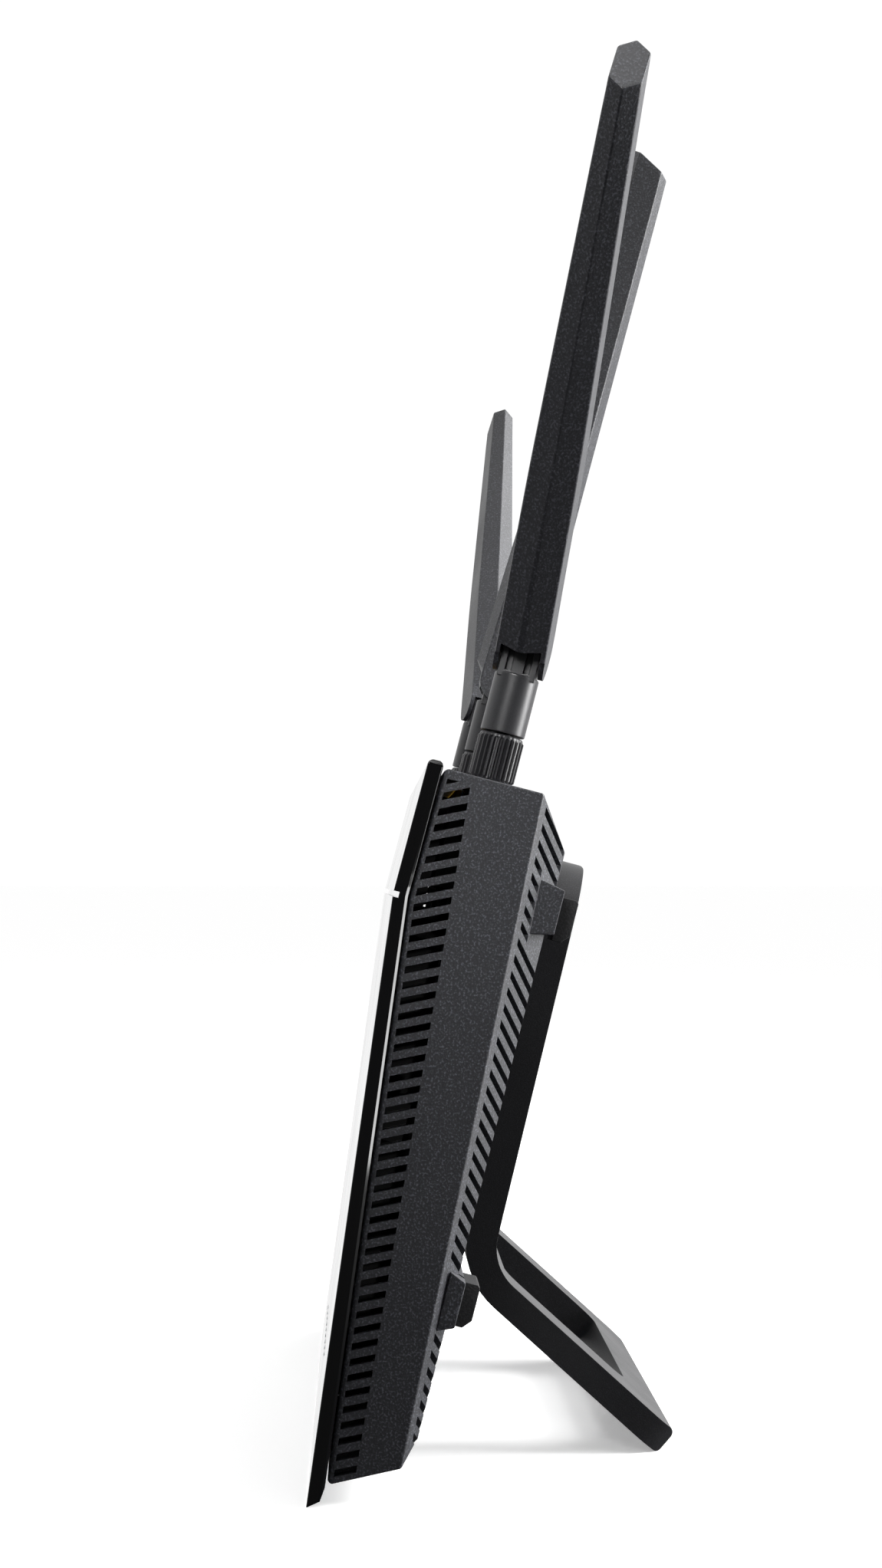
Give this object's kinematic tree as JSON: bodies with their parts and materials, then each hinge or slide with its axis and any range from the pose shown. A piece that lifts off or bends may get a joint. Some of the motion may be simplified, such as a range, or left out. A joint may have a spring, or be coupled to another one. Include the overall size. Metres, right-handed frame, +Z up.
{
  "type": "wireless router",
  "caption": "Upright desktop wireless router leaning back on a bent plate stand, with a gloss front cover, slotted case and folding swivel antennas.",
  "frame": {"origin": "centre of the bounding box in plan, on the plane that the router stands on", "axes": "+X across the router to its right seen from the back of the stand, +Y from the front cover to the back, +Z up"},
  "size_m": [0.3526, 0.083, 0.2962],
  "materials": {
    "gloss_black": "high gloss moulded plastic",
    "case_black": "fine-grained matte plastic",
    "blade_black": "fine-grained matte plastic",
    "sleeve_black": "satin smooth plastic",
    "stand_black": "satin-matte plastic",
    "rubber_black": "soft matte rubber",
    "button_black": "satin plastic",
    "lens": "milky clear light guide",
    "board_green": "circuit board with solder mask",
    "chip_black": "moulded component package",
    "lan_yellow": "coloured socket plastic",
    "wan_blue": "coloured socket plastic",
    "heat_sink_aluminium": "brushed",
    "shield_steel": "nickel plated",
    "pin_steel": "smooth",
    "connector_nickel": "nickel-plated brass",
    "radiator_copper": "copper strip",
    "lead_grey": "thin coaxial lead jacket"
  },
  "bodies": {
    "router_body": {"front_cover": "gloss_black", "rear_case": "case_black", "light_guide": "lens", "light_board": "board_green", "main_board": "board_green", "processor_heat_sink": "heat_sink_aluminium", "filter_capacitor_left": "heat_sink_aluminium", "filter_capacitor_right": "heat_sink_aluminium", "radio_shield_right": "shield_steel", "radio_shield_left": "shield_steel", "usb_port": "shield_steel", "case_screw_upper_right": "shield_steel", "case_screw_upper_left": "shield_steel", "case_screw_lower_right": "shield_steel", "case_screw_lower_left": "shield_steel", "memory_chip": "chip_black", "flash_chip": "chip_black", "lan_transformer": "chip_black", "wan_transformer": "chip_black", "power_inductor": "chip_black", "power_switch": "chip_black", "wps_switch": "chip_black", "reset_switch": "chip_black", "wan_jack": "wan_blue", "lan_jack_1": "lan_yellow", "lan_jack_2": "lan_yellow", "lan_jack_3": "lan_yellow", "lan_jack_4": "lan_yellow", "dc_jack": "button_black", "rubber_foot_upper_right": "rubber_black", "rubber_foot_upper_left": "rubber_black", "rubber_foot_lower_right": "rubber_black", "rubber_foot_lower_left": "rubber_black", "antenna_socket_right": "connector_nickel", "coax_lead_right": "lead_grey", "antenna_socket_centre": "connector_nickel", "coax_lead_centre": "lead_grey", "antenna_socket_left": "connector_nickel", "coax_lead_left": "lead_grey"},
    "nut_right": {"antenna_nut_right": "sleeve_black"},
    "sleeve_right": {"antenna_sleeve_right": "sleeve_black", "hinge_pin_right": "pin_steel"},
    "blade_right": {"antenna_blade_right": "blade_black", "radiator_right": "radiator_copper"},
    "nut_centre": {"antenna_nut_centre": "sleeve_black"},
    "sleeve_centre": {"antenna_sleeve_centre": "sleeve_black", "hinge_pin_centre": "pin_steel"},
    "blade_centre": {"antenna_blade_centre": "blade_black", "radiator_centre": "radiator_copper"},
    "nut_left": {"antenna_nut_left": "sleeve_black"},
    "sleeve_left": {"antenna_sleeve_left": "sleeve_black", "hinge_pin_left": "pin_steel"},
    "blade_left": {"antenna_blade_left": "blade_black", "radiator_left": "radiator_copper"},
    "power_key": {"power_button": "button_black"},
    "wps_key": {"wps_button": "button_black"},
    "reset_key": {"reset_button": "button_black"},
    "stand_body": {"stand": "stand_black"}
  },
  "joints": [
    {"name": "nut_spin_right", "type": "hinge", "parent": "router_body", "child": "nut_right", "pos_m": [0.08726, -0.00349, 0.14716], "axis": [0, 0.2504, 0.9681], "continuous": true},
    {"name": "antenna_swivel_right", "type": "hinge", "parent": "router_body", "child": "sleeve_right", "pos_m": [0.08726, -0.00088, 0.15723], "axis": [0, 0.2504, 0.9681], "range_deg": [-120, 120]},
    {"name": "antenna_fold_right", "type": "hinge", "parent": "sleeve_right", "child": "blade_right", "pos_m": [0.08726, 0.00205, 0.16856], "axis": [0.1219, 0.9609, -0.2485], "range_deg": [-43, 47]},
    {"name": "nut_spin_centre", "type": "hinge", "parent": "router_body", "child": "nut_centre", "pos_m": [0.00127, -0.00349, 0.14716], "axis": [0, 0.2504, 0.9681], "continuous": true},
    {"name": "antenna_swivel_centre", "type": "hinge", "parent": "router_body", "child": "sleeve_centre", "pos_m": [0.00127, -0.00088, 0.15723], "axis": [0, 0.2504, 0.9681], "range_deg": [-75, 75]},
    {"name": "antenna_fold_centre", "type": "hinge", "parent": "sleeve_centre", "child": "blade_centre", "pos_m": [0.00127, 0.00205, 0.16856], "axis": [-0.9998, 0.0169, -0.0044], "range_deg": [-1.5, 88.5]},
    {"name": "nut_spin_left", "type": "hinge", "parent": "router_body", "child": "nut_left", "pos_m": [-0.08474, -0.00349, 0.14716], "axis": [0, 0.2504, 0.9681], "continuous": true},
    {"name": "antenna_swivel_left", "type": "hinge", "parent": "router_body", "child": "sleeve_left", "pos_m": [-0.08474, -0.00088, 0.15723], "axis": [0, 0.2504, 0.9681], "range_deg": [-120, 120]},
    {"name": "antenna_fold_left", "type": "hinge", "parent": "sleeve_left", "child": "blade_left", "pos_m": [-0.08474, 0.00205, 0.16856], "axis": [0.1599, -0.9557, 0.2472], "range_deg": [-45, 45]},
    {"name": "power_press", "type": "slide", "parent": "router_body", "child": "power_key", "axis": [0, -0.2504, -0.9681], "range_m": [0, 0.002], "stiffness_N_per_m": 400, "springref_m": -0.001},
    {"name": "wps_press", "type": "slide", "parent": "router_body", "child": "wps_key", "axis": [0, -0.2504, -0.9681], "range_m": [0, 0.0015], "stiffness_N_per_m": 400, "springref_m": -0.001},
    {"name": "reset_press", "type": "slide", "parent": "router_body", "child": "reset_key", "axis": [0, -0.2504, -0.9681], "range_m": [0, 0.0012], "stiffness_N_per_m": 400, "springref_m": -0.001},
    {"name": "stand_release", "type": "slide", "parent": "router_body", "child": "stand_body", "axis": [0, -0.2504, -0.9681], "range_m": [0, 0.006]}
  ]
}
